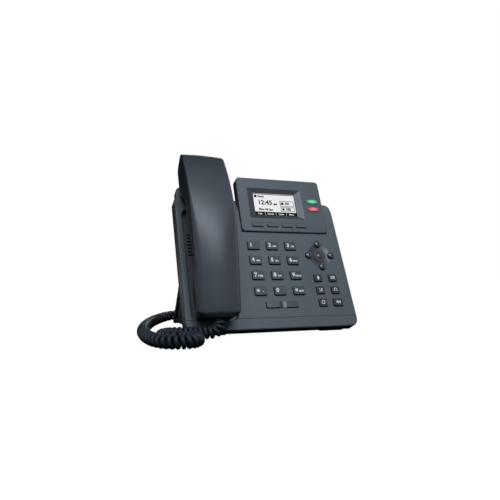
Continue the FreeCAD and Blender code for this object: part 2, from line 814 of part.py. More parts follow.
def handset_section(v, top, low, half, inset):
    """Cross-section: crowned face, round shoulders, drafted sides and a flat back."""
    top -= inset
    low += inset
    half -= inset
    draft = towards_ear(v, handset_draft_low, handset_draft_high)
    shoulder = towards_ear(v, handset_side_round, handset_side_round_high) - inset
    crown = towards_ear(v, handset_crown, handset_crown_high) - inset
    foot = handset_back_round - inset / 2
    lift = math.sqrt((crown - shoulder) ** 2 - (half - shoulder) ** 2)
    turn = math.atan2(lift, half - shoulder)
    shoulder_w = top - crown + lift
    foot_half = half - draft
    lean = math.atan2(draft, shoulder_w - low)
    foot_turn = math.radians(45)
    right = [
        Vector(foot_half - foot, v, low),
        Vector(foot_half - foot + foot * math.sin(foot_turn), v, low + foot * (1 - math.cos(foot_turn))),
        Vector(foot_half + foot * math.tan(lean), v, low + foot),
        Vector(half, v, shoulder_w),
        Vector(half - shoulder * (1 - math.cos(turn / 2)), v, shoulder_w + shoulder * math.sin(turn / 2)),
        Vector(crown * math.cos(turn), v, top - crown + crown * math.sin(turn)),
    ]
    left = [Vector(-point.x, point.y, point.z) for point in right]
    edges = [
        Part.LineSegment(left[0], right[0]).toShape(),
        Part.Arc(right[0], right[1], right[2]).toShape(),
        Part.LineSegment(right[2], right[3]).toShape(),
        Part.Arc(right[3], right[4], right[5]).toShape(),
        Part.Arc(right[5], Vector(0, v, top), left[5]).toShape(),
        Part.Arc(left[5], left[4], left[3]).toShape(),
        Part.LineSegment(left[3], left[2]).toShape(),
        Part.Arc(left[2], left[1], left[0]).toShape(),
    ]
    wire = Part.Wire(edges)
    wire.translate(Vector(handset_u, 0, 0))
    return wire


def ramp(start, end):
    """Evenly spaced places from one place to another, without the first."""
    return [start + (end - start) * step / ramp_steps for step in range(1, ramp_steps + 1)]


def handset_bar(inset):
    """Whole handset, or its hollow."""
    low = handset_low_v + inset
    high = handset_high_v - inset
    turns = [low, low + mouth_end, mouth_cup_v, grip_low_v, grip_high_v, ear_cup_v, high - ear_end, high]
    stations = [low]
    for start, end in zip(turns, turns[1:]):
        stations += ramp(start, end)
    wires = []
    for v in stations:
        mouth = 1 - smooth(v, low, low + mouth_end)
        ear = max(0.0, v - high + ear_end) ** 2 / ear_end ** 2
        top = crest(v) - mouth_ease * mouth - ear_drop * ear
        back_low = back_height(v) + mouth_lift * mouth + ear_lift * ear
        wires.append(handset_section(v, top, back_low, half_width(v) - mouth_ease * mouth, inset))
    return Part.makeLoft(wires, True, False)


whole = handset_bar(0)
room = handset_bar(handset_wall)
split_radius = handset_arch - handset_split
split_axis = Vector(handset_u - base_width / 2, handset_crest_v, handset_crest_w - handset_arch)
split_body = Part.makeCylinder(split_radius, base_width, split_axis, Vector(1, 0, 0))
boss_levels = [(v, back_height(v)) for v in handset_screw_v]
handset_bosses = [disc(handset_u, v, low - wall, crest(v), handset_boss) for v, low in boss_levels]
receiver_low = ear_cup_w + handset_wall + receiver_seat
capsule_low = mouth_cup_w + handset_wall + capsule_seat


def seat(v, low, high, radius):
    """Ring on the inside of the back that a sound capsule rests on."""
    ring = disc(handset_u, v, low, high, radius)
    return ring.cut(disc(handset_u, v, low, high, radius - seat_ring))


for pillar in handset_bosses + [seat(receiver_v, ear_cup_w, receiver_low, receiver_radius),
                                seat(capsule_v, mouth_cup_w, capsule_low, capsule_radius)]:
    room = room.cut(pillar)
shell = whole.cut(room)
shell_cuts = []
for v, low in boss_levels:
    head_top = low + handset_screw_head_height * 2
    shell_cuts.append(disc(handset_u, v, low - wall, head_top, handset_screw_head + assembly_gap))
    shell_cuts.append(disc(handset_u, v, low - wall, crest(v) - handset_wall * 2,
                           handset_screw_radius + screw_gap))
for v, low, reach, radius in ((receiver_v, ear_cup_w, sound_ring, sound_hole),
                              (capsule_v, mouth_cup_w, capsule_hole_ring, capsule_hole)):
    for index in range(sound_hole_count):
        place = corner_point(handset_u, v, 0, reach, index * 360 / sound_hole_count)
        shell_cuts.append(disc(place.x, place.y, low - wall, low + handset_wall * 2, radius))
jack_u0 = handset_u - cord_socket_width / 2 - handset_jack_wall
jack_u1 = handset_u + cord_socket_width / 2 + handset_jack_wall
jack_w0 = handset_jack_w - cord_socket_height / 2 - handset_jack_wall
jack_w1 = handset_jack_w + cord_socket_height / 2 + handset_jack_wall
shell_cuts.append(box(jack_u0 - socket_gap, jack_u1 + socket_gap,
                      handset_low_v - wall, handset_low_v + wall * 2,
                      jack_w0 - socket_gap, jack_w1 + socket_gap))
shell = shell.cut(shell_cuts)
parts["handset_outer_shell"] = on_desk(shell.cut(split_body).removeSplitter())
parts["handset_inner_shell"] = on_desk(shell.common(split_body).removeSplitter())
parts["receiver_capsule"] = on_desk(disc(handset_u, receiver_v, receiver_low + assembly_gap,
                                         receiver_low + assembly_gap + receiver_height, receiver_radius))
parts["handset_microphone"] = on_desk(disc(handset_u, capsule_v, capsule_low + assembly_gap,
                                           capsule_low + assembly_gap + capsule_height, capsule_radius))
handset_screws = []
for v, low in boss_levels:
    head_low = low + handset_screw_head_height - assembly_gap
    head = disc(handset_u, v, head_low, head_low + handset_screw_head_height, handset_screw_head)
    handset_screws.append(head.fuse(disc(handset_u, v, head_low, crest(v) - handset_wall * 2 - assembly_gap,
                                         handset_screw_radius)))
parts["handset_screws"] = on_desk(group(handset_screws))
jack_end = handset_low_v + handset_jack_depth
jack = box(jack_u0, jack_u1, handset_low_v, jack_end + handset_jack_wall, jack_w0, jack_w1)
jack = jack.cut(box(jack_u0 + handset_jack_wall, jack_u1 - handset_jack_wall, handset_low_v - wall, jack_end,
                    jack_w0 + handset_jack_wall, jack_w1 - handset_jack_wall))
parts["handset_jack"] = on_desk(jack)


# Stand: a hollow wedge behind the base, open at the front and below, with a window for the leads
def back_point(v, depth):
    """Point behind the back of the base, seen from the side."""
    point = desk_point(0, v, -base_depth - depth)
    return point.y, point.z


def upright(points, x0, x1):
    """Prism of a side view, across the desk."""
    corners = [Vector(x0, y, z) for y, z in points]
    return Part.Face(Part.makePolygon(corners + corners[:1])).extrude(Vector(x1 - x0, 0, 0))


top_front = back_point(stand_top_v, assembly_gap)
top_rear = back_point(stand_top_v, assembly_gap + stand_top_depth)
low_front = back_point(stand_low_v, assembly_gap)
foot_rear = (stand_reach, pad_thickness)
foot_front = (stand_reach - stand_foot, pad_thickness)
side_view = [top_front, top_rear, foot_rear, foot_front,
             (foot_front[0] - stand_clear, stand_clear), (low_front[0] + stand_clear, stand_clear), low_front]
rear_run = math.hypot(foot_rear[0] - top_rear[0], foot_rear[1] - top_rear[1])
rear_across = stand_thickness * rear_run / (top_rear[1] - foot_rear[1])
reach = base_depth * 2
inside_view = [(top_front[0] - reach, top_front[1] - stand_thickness),
               (top_rear[0] - rear_across + stand_thickness / 2, top_rear[1] - stand_thickness),
               (foot_rear[0] - rear_across, foot_rear[1]), (foot_rear[0] - rear_across, -reach),
               (-reach, -reach)]
stand = upright(side_view, -stand_half_width, stand_half_width)
inner_half = stand_half_width - stand_thickness
stand = stand.cut(upright(inside_view, -inner_half, inner_half))
window_half = stand_half_width - stand_window_side
stand = stand.cut(box(-window_half, window_half, top_front[0], stand_reach * 2, -reach, stand_window_top))


def rear_edge(z):
    """Place of the rear edge of the stand at one height."""
    share = (z - foot_rear[1]) / (top_rear[1] - foot_rear[1])
    return foot_rear[0] + share * (top_rear[0] - foot_rear[0])


slot_low_y = rear_edge(stand_slot_low) - stand_slot_behind
slot_high_y = rear_edge(stand_slot_high) - stand_slot_behind
slot_view = [(slot_low_y, stand_slot_low), (slot_high_y, stand_slot_high),
             (slot_high_y - stand_slot_top_width, stand_slot_high),
             (slot_low_y - stand_slot_width, stand_slot_low)]
stand = stand.cut(upright(slot_view, -base_width, base_width))
parts["stand"] = stand.removeSplitter()
pads = [box(x0, x0 + stand_window_side, stand_reach - pad_length, stand_reach, 0, pad_thickness)
        for x0 in (-stand_half_width, stand_half_width - stand_window_side)]
parts["stand_pads"] = group(pads)
flat_y = (panel_lift - foot_thickness) / cosine * sine
foot_y = flat_y + assembly_gap
feet = [box(u - foot_width / 2, u + foot_width / 2, foot_y, foot_y + foot_length, 0, foot_thickness)
        for u in (-foot_u, foot_u)]
parts["front_feet"] = group(feet)


# Curly cord: plugs in the handset and in the base, and one tube of the curl's outer size between them
def plug(u, face_v, depth, w):
    """Four-way plug that stands a little out of its socket."""
    return box(u - plug_width / 2, u + plug_width / 2, face_v - plug_tail, face_v + depth - assembly_gap,
               w - plug_height / 2, w + plug_height / 2)


parts["cord_handset_plug"] = on_desk(plug(handset_u, handset_low_v, handset_jack_depth, handset_jack_w))
parts["cord_base_plug"] = on_desk(plug(cord_socket_u[0], socket_face, cord_socket_depth, cord_socket_w))


def fold_points(x, y, side):
    """Three points of a half turn that is folded as tight as the curl allows."""
    drop = fold_run * math.cos(math.radians(30))
    step = fold_run / 2
    return [Vector(x + side * step, y, desk_z), Vector(x + side * 2 * step, y - drop, desk_z),
            Vector(x + side * step, y - 2 * drop, desk_z)]


handset_exit = desk_point(handset_u, handset_low_v - plug_tail - contact_gap, handset_jack_w)
base_exit = desk_point(cord_socket_u[0], socket_face - plug_tail, cord_socket_w)
fold_middle_y = fold_front_y - 2 * fold_run * math.cos(math.radians(30))
route = [
    handset_exit,
    handset_exit + desk_point(0, -exit_run, 0) - desk_point(0, 0, 0),
    Vector(handset_exit.x - 5.8, handset_exit.y - 5.8, desk_z + 0.3),
    Vector(-84.0, -13.6, desk_z),
    Vector(-100.0, -11.8, desk_z),
]
route += fold_points(fold_x, fold_front_y, -1)
route += fold_points(fold_back_x, fold_middle_y, 1)
route += [Vector(x, y, z) for x, y, z in [
    (-118.0, -66.6, desk_z), (-128.5, -57.5, desk_z), (-133.7, -41.0, desk_z), (-135.3, -20.0, desk_z),
    (-134.2, 6.0, desk_z), (-130.5, 33.0, desk_z), (-124.5, 59.5, desk_z), (-117.0, 86.0, desk_z),
    (-108.5, 112.0, desk_z), (-97.0, 139.0, desk_z), (-84.0, 164.0, desk_z), (-68.0, 182.0, desk_z),
    (-46.0, 189.5, desk_z), (-23.0, 185.5, desk_z), (-5.0, 171.0, desk_z), (4.0, 150.0, desk_z),
    (4.5, 127.0, desk_z), (0.0, 105.0, desk_z), (-6.0, 85.0, desk_z), (-12.0, 70.5, desk_z + 0.4),
    (-16.0, 60.0, 9.4), (-18.6, 50.8, 15.0), (-19.8, 45.0, 24.0), (-20.0, 43.9, 34.5),
]]
route.append(base_exit)


def tube(points, diameter):
    """Round tube along straight runs and the largest tangent arcs that they allow."""
    edges = []
    radii = []
    start = points[0]
    for before, here, after in zip(points, points[1:], points[2:]):
        back_way = before - here
        next_way = after - here
        shorter = min(back_way.Length, next_way.Length)
        turn = math.pi - back_way.getAngle(next_way)
        reach_back = bend_share * shorter
        radius = reach_back / math.tan(turn / 2)
        back_way.normalize()
        next_way.normalize()
        arc_start = here + back_way * reach_back
        arc_end = here + next_way * reach_back
        bisector = back_way + next_way
        bisector.normalize()
        middle = here + bisector * (radius / math.cos(turn / 2) - radius)
        edges.append(Part.LineSegment(start, arc_start).toShape())
        edges.append(Part.Arc(arc_start, middle, arc_end).toShape())
        radii.append(radius)
        start = arc_end
    edges.append(Part.LineSegment(start, points[-1]).toShape())
    length = sum(edge.Length for edge in edges)
    section = Part.Wire([Part.makeCircle(diameter / 2, points[0], points[1] - points[0])])
    solid = Part.Wire(edges).makePipeShell([section], True, True)
    return solid, radii, length


curl, curl_radii, curl_length = tube(route, curl_diameter)
parts["handset_cord"] = curl
print("cord radii", [round(radius, 1) for radius in curl_radii])
print("cord length", round(curl_length, 1), "volume share",
      round(curl.Volume / (math.pi * curl_diameter ** 2 / 4 * curl_length), 4))

# The origin is under the middle of the phone, without its cord
cord_names = ["handset_cord", "cord_handset_plug", "cord_base_plug"]
reach_box = FreeCAD.BoundBox()
for name, shape in parts.items():
    if name not in cord_names:
        reach_box.add(shape.optimalBoundingBox(False, False))
origin_shift = Vector(-reach_box.Center.x, -reach_box.Center.y, -reach_box.ZMin)
os.makedirs("parts", exist_ok=True)
for name, shape in parts.items():
    shape.translate(origin_shift)
    shape.exportStep(os.path.join("parts", name + ".step"))
print(len(parts), "parts, shift", origin_shift)
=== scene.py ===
import bpy
import math
from mathutils import Matrix, Vector


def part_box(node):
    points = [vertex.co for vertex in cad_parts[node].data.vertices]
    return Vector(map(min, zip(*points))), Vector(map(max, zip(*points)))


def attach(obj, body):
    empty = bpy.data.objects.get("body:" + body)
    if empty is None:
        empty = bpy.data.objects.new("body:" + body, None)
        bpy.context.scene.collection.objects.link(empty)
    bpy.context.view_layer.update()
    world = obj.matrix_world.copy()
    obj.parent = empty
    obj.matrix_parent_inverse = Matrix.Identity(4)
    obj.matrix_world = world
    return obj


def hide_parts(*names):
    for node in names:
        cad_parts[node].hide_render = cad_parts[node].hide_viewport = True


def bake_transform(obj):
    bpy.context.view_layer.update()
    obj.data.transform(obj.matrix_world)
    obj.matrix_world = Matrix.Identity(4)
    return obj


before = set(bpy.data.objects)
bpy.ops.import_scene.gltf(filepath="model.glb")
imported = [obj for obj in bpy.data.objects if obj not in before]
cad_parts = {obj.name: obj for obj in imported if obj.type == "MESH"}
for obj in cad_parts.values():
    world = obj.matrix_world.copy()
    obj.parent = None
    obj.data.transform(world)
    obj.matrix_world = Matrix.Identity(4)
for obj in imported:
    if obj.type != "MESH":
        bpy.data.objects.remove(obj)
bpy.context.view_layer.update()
bpy.ops.object.select_all(action="DESELECT")

# Front panel. The case leans back on its stand, and all that is printed or pressed lies on that slope, so
# places are given flat, in millimetres across the panel, up it and out of it, and are then leant back. The
# screen housing stands a little more upright, so that its top comes further out.
foot_to_stand_back = 0.149
foot_height = 0.0053
panel_slope = math.radians(65.1)
panel_foot = Vector((0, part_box("stand")[1].y - foot_to_stand_back, foot_height))
panel_lean = Matrix.Translation(panel_foot) @ Matrix.Rotation(panel_slope, 4, "X")
screen_slope = math.radians(3.1)
screen_top = Matrix.Translation((0, 0.180, 0.006))
screen_lean = panel_lean @ screen_top @ Matrix.Rotation(screen_slope, 4, "X") @ screen_top.inverted()

# Camera of the product shot. It is half a metre in front of the phone and to its left, low above the desk,
# turned to the right and tilted up a little.
camera_left = 0.20021
camera_ahead = 0.46668
camera_height = 0.06403
camera_pitch = math.radians(92.37)
camera_turn = math.radians(-19.96)
bpy.ops.object.camera_add(location=(-camera_left, panel_foot.y - camera_ahead, camera_height),
                          rotation=(camera_pitch, 0, camera_turn))
camera = bpy.context.object
camera.data.sensor_width = 36
camera.data.lens = 35.89
camera.select_set(False)
bpy.context.scene.camera = camera

# Handset cord. A PVC lead wound into a tight spring and baked, so that it curls; it leaves the handset, folds
# twice on the desk, and runs round behind the stand to its socket on the back of the base. Sizes in metres.
cord_route = [
    (-0.0654, -0.0773, 0.0192), (-0.0654, -0.0806, 0.0120), (-0.0712, -0.0831, 0.0067),
    (-0.0840, -0.0792, 0.0064), (-0.1000, -0.0774, 0.0064), (-0.1160, -0.0766, 0.0064),
    (-0.1240, -0.0904, 0.0064), (-0.1160, -0.1043, 0.0064), (-0.1030, -0.1043, 0.0064),
    (-0.0950, -0.1181, 0.0064), (-0.1030, -0.1320, 0.0064), (-0.1180, -0.1322, 0.0064),
    (-0.1285, -0.1231, 0.0064), (-0.1337, -0.1066, 0.0064), (-0.1353, -0.0856, 0.0064),
    (-0.1342, -0.0596, 0.0064), (-0.1305, -0.0326, 0.0064), (-0.1245, -0.0061, 0.0064),
    (-0.1170, 0.0204, 0.0064), (-0.1085, 0.0464, 0.0064), (-0.0970, 0.0734, 0.0064),
    (-0.0840, 0.0984, 0.0064), (-0.0680, 0.1164, 0.0064), (-0.0460, 0.1239, 0.0064),
    (-0.0230, 0.1199, 0.0064), (-0.0050, 0.1054, 0.0064), (0.0040, 0.0844, 0.0064),
    (0.0045, 0.0614, 0.0064), (0.0000, 0.0394, 0.0064), (-0.0060, 0.0194, 0.0064),
    (-0.0120, 0.0049, 0.0068), (-0.0160, -0.0056, 0.0094), (-0.0186, -0.0148, 0.0150),
    (-0.0198, -0.0206, 0.0240), (-0.0200, -0.0217, 0.0345), (-0.0200, -0.0179, 0.0427),
]
curl_size = 0.0126
lead_size = 0.0040
tight_pitch = 0.0046
drawn_pitch = 0.0105
drawn_from = 0.145
drawn_over = 0.06
lead_tail = 0.006
turn_points = 12
doubled_point = 0.0001
line_data = bpy.data.curves.new("cord_line", "CURVE")
line_data.dimensions = "3D"
line_data.resolution_u = 24
spline = line_data.splines.new("NURBS")
spline.points.add(len(cord_route) - 1)
for point, place in zip(spline.points, cord_route):
    point.co = (*place, 1)
spline.order_u = 3
spline.use_endpoint_u = True
line = bpy.data.objects.new("cord_line", line_data)
line_mesh = bpy.data.meshes.new_from_object(line)
cord_path = []
for vertex in line_mesh.vertices:
    if not cord_path or (vertex.co - cord_path[-1]).length > doubled_point:
        cord_path.append(vertex.co.copy())
bpy.data.objects.remove(line)
path_reach = [0.0]
for before, after in zip(cord_path, cord_path[1:]):
    path_reach.append(path_reach[-1] + (after - before).length)
cord_length = path_reach[-1]

# The winding: points round the cord's middle line, with the turning frame carried along it. The turns lie
# close on the folds, and are drawn apart where the cord is pulled round the stand.
curl_points = []
side = Vector((1, 0, 0))
segment = 0
reach = 0.0
turn = 0.0
while reach < cord_length:
    while segment < len(cord_path) - 2 and path_reach[segment + 1] < reach:
        segment += 1
    way = cord_path[segment + 1] - cord_path[segment]
    place = cord_path[segment] + way * ((reach - path_reach[segment]) / way.length)
    way.normalize()
    side = (side - way * side.dot(way)).normalized()
    over = way.cross(side)
    opened = min(1.0, reach / lead_tail, (cord_length - reach) / lead_tail)
    spread = opened * (curl_size - lead_size) / 2
    curl_points.append(place + (side * math.cos(turn) + over * math.sin(turn)) * spread)
    drawn = min(1.0, max(0.0, (reach - drawn_from) / drawn_over))
    reach += (tight_pitch + (drawn_pitch - tight_pitch) * drawn) / turn_points
    turn += 2 * math.pi / turn_points
curl_data = bpy.data.curves.new("handset_cord_curl", "CURVE")
curl_data.dimensions = "3D"
curl_data.bevel_depth = lead_size / 2
curl_data.bevel_resolution = 2
curl_data.use_fill_caps = True
spline = curl_data.splines.new("POLY")
spline.points.add(len(curl_points) - 1)
for point, place in zip(spline.points, curl_points):
    point.co = (*place, 1)
cord = bpy.data.objects.new("handset_cord_curl", curl_data)
bpy.context.collection.objects.link(cord)
bpy.context.view_layer.objects.active = cord
cord.select_set(True)
bpy.ops.object.convert(target="MESH")
cord = bpy.context.object
bpy.ops.object.shade_smooth()
cord.select_set(False)


def linear(code):
    """Linear colour of an sRGB hex value."""
    levels = [int(code[place:place + 2], 16) / 255 for place in (0, 2, 4)]
    light = [level / 12.92 if level <= 0.04045 else ((level + 0.055) / 1.055) ** 2.4 for level in levels]
    return light + [1.0]


def add(tree, kind, inputs=None, **settings):
    """Adds a node with its settings; an input that is given a socket is linked to it."""
    item = tree.nodes.new(kind)
    for name, value in settings.items():
        setattr(item, name, value)
    for name, value in (inputs or {}).items():
        if isinstance(value, bpy.types.NodeSocket):
            tree.links.new(value, item.inputs[name])
        else:
            item.inputs[name].default_value = value
    return item


def new_material(name, levels):
    """Node material with its output and its shader, whose constants are given."""
    material = bpy.data.materials.new(name)
    material.use_nodes = True
    tree = material.node_tree
    tree.nodes.clear()
    shader = add(tree, "ShaderNodeBsdfPrincipled", levels)
    add(tree, "ShaderNodeOutputMaterial", {"Surface": shader.outputs["BSDF"]})
    return material, tree, shader


def two_tones(tree, dark, light, size, detail=2.0, stops=(0.0, 1.0)):
    """Colour that wanders between two tones, in patches of a size in millimetres."""
    spot = add(tree, "ShaderNodeTexCoord")
    patches = add(tree, "ShaderNodeTexNoise", {"Vector": spot.outputs["Object"], "Scale": 1000 / size,
                                               "Detail": detail})
    tint = add(tree, "ShaderNodeValToRGB", {"Fac": patches.outputs["Fac"]})
    for element, stop, code in zip(tint.color_ramp.elements, stops, (dark, light)):
        element.position = stop
        element.color = linear(code)
    return tint.outputs["Color"]


# Soft PVC: a satin blue-black skin with a faint mottle from the extrusion die, drawn at 2 mm so that it shows
cool_sheen = linear("dce7f3")
pvc, tree, shader = new_material("soft_pvc_lead", {"Roughness": 0.5, "IOR": 1.53, "Specular IOR Level": 0.2,
                                                   "Specular Tint": cool_sheen})
tint = two_tones(tree, "161c24", "202831", size=2.0, detail=3.0)
mottle = tint.node.inputs["Fac"].links[0].from_socket
skin = add(tree, "ShaderNodeBump", {"Height": mottle, "Strength": 0.08, "Distance": 0.0002})
tree.links.new(tint, shader.inputs["Base Color"])
tree.links.new(skin.outputs["Normal"], shader.inputs["Normal"])
cord.data.materials.append(pvc)
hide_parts("handset_cord")
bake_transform(cord)


# Case of the base. Injection-moulded ABS in a dark blue-grey, from a mould that was spark-eroded, so that the
# face is satin with a very fine even grain, which is drawn at 0.7 mm so that it shows.
def moulded_abs(name, dark, light, grain, depth, roughness, shine=0.3):
    """Moulded plastic: two near tones that drift slowly, and a grain of a given size in millimetres."""
    gloss_spread = 0.05
    material, tree, shader = new_material(name, {"IOR": 1.53, "Specular IOR Level": shine,
                                                 "Specular Tint": cool_sheen})
    tint = two_tones(tree, dark, light, size=45.0, stops=(0.3, 0.7))
    spot = add(tree, "ShaderNodeTexCoord")
    pits = add(tree, "ShaderNodeTexNoise", {"Vector": spot.outputs["Object"], "Scale": 1000 / grain})
    relief = add(tree, "ShaderNodeBump", {"Height": pits.outputs["Fac"], "Strength": depth,
                                          "Distance": 0.0001})
    gloss = add(tree, "ShaderNodeMapRange", {"Value": pits.outputs["Fac"], "To Min": roughness - gloss_spread,
                                             "To Max": roughness + gloss_spread})
    tree.links.new(tint, shader.inputs["Base Color"])
    tree.links.new(gloss.outputs["Result"], shader.inputs["Roughness"])
    tree.links.new(relief.outputs["Normal"], shader.inputs["Normal"])
    return material


def dress(names, material):
    """Gives CAD pieces a finish."""
    for name in names:
        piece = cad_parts[name]
        piece.data.materials.clear()
        piece.data.materials.append(material)


case_abs = moulded_abs("grained_grey_abs", "4f5861", "545d66", grain=0.7, depth=0.25, roughness=0.46)
dress(["upper_housing"], case_abs)

# Frame of the screen. It is the same ABS, but the slope round the window is polished in the mould, so that
# its four sides catch the light one by one, and it is painted darker, as painted shade of the recess round
# the window.
window_middle = Vector((22.15, 147.4, 0))
slope_half = Vector((33.5, 19.25, 1000))
slope_shade_colour = "31383f"
slope_roughness = 0.32
bezel_abs = moulded_abs("grained_bezel_abs", "4a535c", "4f5861", grain=0.7, depth=0.25, roughness=0.46,
                        shine=0.35)
tree = bezel_abs.node_tree
shader = tree.nodes["Principled BSDF"]
grained_tint = shader.inputs["Base Color"].links[0].from_socket
grained_gloss = shader.inputs["Roughness"].links[0].from_socket
flat = screen_lean.inverted()
spot = add(tree, "ShaderNodeTexCoord")
turned = add(tree, "ShaderNodeMapping", {"Vector": spot.outputs["Object"], "Location": flat.translation,
                                         "Rotation": flat.to_euler()})
centred = add(tree, "ShaderNodeVectorMath", {0: turned.outputs["Vector"], 1: window_middle / 1000},
              operation="SUBTRACT")
apart = add(tree, "ShaderNodeVectorMath", {0: centred.outputs["Vector"]}, operation="ABSOLUTE")
share = add(tree, "ShaderNodeVectorMath", {0: apart.outputs["Vector"], 1: slope_half / 1000},
            operation="DIVIDE")
sides = add(tree, "ShaderNodeSeparateXYZ", {"Vector": share.outputs["Vector"]})
reach_out = add(tree, "ShaderNodeMath", {0: sides.outputs["X"], 1: sides.outputs["Y"]}, operation="MAXIMUM")
sloping = add(tree, "ShaderNodeMath", {0: reach_out.outputs["Value"], 1: 1.0}, operation="LESS_THAN")
# Inside the slope the colour turns to the darker tone: painted shade of the recess.
slope_shade_tint = add(tree, "ShaderNodeMix", {"Factor": sloping.outputs["Value"], "A": grained_tint,
                                         "B": linear(slope_shade_colour)}, data_type="RGBA")
slope_gloss = add(tree, "ShaderNodeMapRange", {"Value": sloping.outputs["Value"], "To Min": grained_gloss,
                                               "To Max": slope_roughness})
tree.links.new(slope_shade_tint.outputs["Result"], shader.inputs["Base Color"])
tree.links.new(slope_gloss.outputs["Result"], shader.inputs["Roughness"])
dress(["screen_bezel"], bezel_abs)

# Back case, stand, screen back and hook. They are the same ABS coloured black, screwed or clipped together,
# with a coarser and duller grain on faces that nobody touches.
back_abs = moulded_abs("grained_black_abs", "1d2126", "24282e", grain=0.9, depth=0.35, roughness=0.6,
                       shine=0.25)
dress(["lower_housing", "screen_back_cover", "stand", "hook_tab", "hook_plunger"], back_abs)

# Handset. Two ABS shells, screwed together along a line round the side; the outside is finer than the case's
# and takes a soft highlight where the grip arches.
handset_abs = moulded_abs("satin_grey_abs", "262e37", "2b333c", grain=0.5, depth=0.12, roughness=0.38,
                          shine=0.45)
dress(["handset_inner_shell"], handset_abs)

# Front shell of the handset. It is the same moulding, with its lower end drawn down into a lip over the plug
# of the cord. The mesh is merged first, so that the lip stays one skin, and only points before the seam move.
lip_drop = 6.0
lip_from = 42.0
lip_end = 12.0
lip_seam = 12.0
lip_face = 27.0
merge_reach = 0.000005
shell = bpy.data.objects.new("handset_front_shell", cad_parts["handset_outer_shell"].data.copy())
bpy.context.collection.objects.link(shell)
bpy.context.view_layer.objects.active = shell
shell.select_set(True)
bpy.ops.object.mode_set(mode="EDIT")
bpy.ops.mesh.select_all(action="SELECT")
bpy.ops.mesh.remove_doubles(threshold=merge_reach, use_sharp_edge_from_normals=True)
bpy.ops.object.mode_set(mode="OBJECT")


def eased(share):
    """Share from 0 to 1 that starts and ends gently."""
    share = min(1.0, max(0.0, share))
    return share * share * (3 - 2 * share)


upright = panel_lean.inverted()
for vertex in shell.data.vertices:
    place = upright @ vertex.co
    along = eased((lip_from - place.y * 1000) / (lip_from - lip_end))
    forward = eased((place.z * 1000 - lip_seam) / (lip_face - lip_seam))
    place.y -= lip_drop / 1000 * along * forward
    vertex.co = panel_lean @ place
shell.data.materials.clear()
shell.data.materials.append(handset_abs)
shell.select_set(False)
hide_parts("handset_outer_shell")
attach(shell, "handset")


# Keys. Moulded ABS caps that stand on a silicone mat behind the case. The dialling and function keys are a
# shade darker than the case, the soft keys are like the screen's frame, and all have their sides painted
# darker than their tops, as painted shade of the gaps round them.
def key_block(rows, first, pitch_across, pitch_up):
    """Places of keys in rows, on the panel in millimetres, from the place of the first one."""
    places = {}
    for row, keys in enumerate(rows):
        for column, key in enumerate(keys):
            places[key] = (first[0] + column * pitch_across, first[1] - row * pitch_up)
    return places


def painted_side_shade(material, way_out, side, steep=0.45, flat=0.8):
    """Paints a cap's sides darker than its top, as painted shade of the gap that the cap stands in."""
    tree = material.node_tree
    shader = tree.nodes["Principled BSDF"]
    top_tint = shader.inputs["Base Color"].links[0].from_socket
    lie = add(tree, "ShaderNodeNewGeometry")
    facing = add(tree, "ShaderNodeVectorMath", {0: lie.outputs["Normal"], 1: way_out},
                 operation="DOT_PRODUCT")
    top = add(tree, "ShaderNodeMapRange", {"Value": facing.outputs["Value"], "From Min": steep,
                                           "From Max": flat})
    tint = add(tree, "ShaderNodeMix", {"Factor": top.outputs["Result"], "A": linear(side), "B": top_tint},
               data_type="RGBA")
    tree.links.new(tint.outputs["Result"], shader.inputs["Base Color"])


panel_out = panel_lean.to_3x3() @ Vector((0, 0, 1))
screen_out = screen_lean.to_3x3() @ Vector((0, 0, 1))
digit_rows = [["key_1", "key_2", "key_3"], ["key_4", "key_5", "key_6"], ["key_7", "key_8", "key_9"],
              ["key_star", "key_0", "key_hash"]]
digit_places = key_block(digit_rows, first=(-12.7, 94.5), pitch_across=21.8, pitch_up=17.75)
digit_top = 2.0
key_abs = moulded_abs("key_cap_abs", "404850", "454d56", grain=0.5, depth=0.15, roughness=0.4, shine=0.25)
# The dialling keys' sides are painted darker, as painted shade of the gaps round them.
painted_side_shade(key_abs, panel_out, "12151a")
dress(digit_places, key_abs)
function_rows = [["mute_key", "message_key"], ["transfer_key", "hold_key"], ["redial_key", "speaker_key"]]
function_places = key_block(function_rows, first=(56.7, 55.5), pitch_across=18.0, pitch_up=14.35)
function_top = 1.8
function_abs = moulded_abs("small_key_cap_abs", "2f363e", "343b43", grain=0.5, depth=0.15, roughness=0.4,
                           shine=0.25)
# The function keys' sides are painted darker, as painted shade of the gaps round them.
painted_side_shade(function_abs, panel_out, "0f1216")
dress(function_places, function_abs)
soft_abs = moulded_abs("soft_key_cap_abs", "4a535c", "4f5861", grain=0.7, depth=0.25, roughness=0.46,
                       shine=0.35)
# The soft keys' sides are painted nearly black, as painted shade under their raised lower edges.
painted_side_shade(soft_abs, screen_out, "0c0e12", steep=0.75, flat=0.93)
dress(["soft_key_1", "soft_key_2", "soft_key_3", "soft_key_4"], soft_abs)


# Legends of the keys. White ink, pad-printed on the caps a few hundredths of a millimetre thick: numbers and
# letters on the dialling keys, and plain pictograms on the function keys.
def set_down(plane, across, up, out):
    """Matrix that lays a drawing in millimetres on a leaning plane."""
    return plane @ Matrix.Diagonal((0.001, 0.001, 0.001, 1)) @ Matrix.Translation((across, up, out))


def lettering(words, plane, across, up, out, height, weight, align="CENTER"):
    """Printed words, flat on a plane at a place in millimetres, as a mesh."""
    capital_share = 0.7
    half_thickness = 0.015
    bpy.ops.object.text_add()
    text = bpy.context.object
    text.data.body = words
    text.data.size = height / capital_share
    text.data.align_x = align
    text.data.align_y = "CENTER"
    text.data.offset = weight
    text.data.extrude = half_thickness
    text.data.resolution_u = 4
    bpy.ops.object.convert(target="MESH")
    text = bpy.context.object
    text.data.transform(set_down(plane, across, up, out))
    text.select_set(False)
    return text


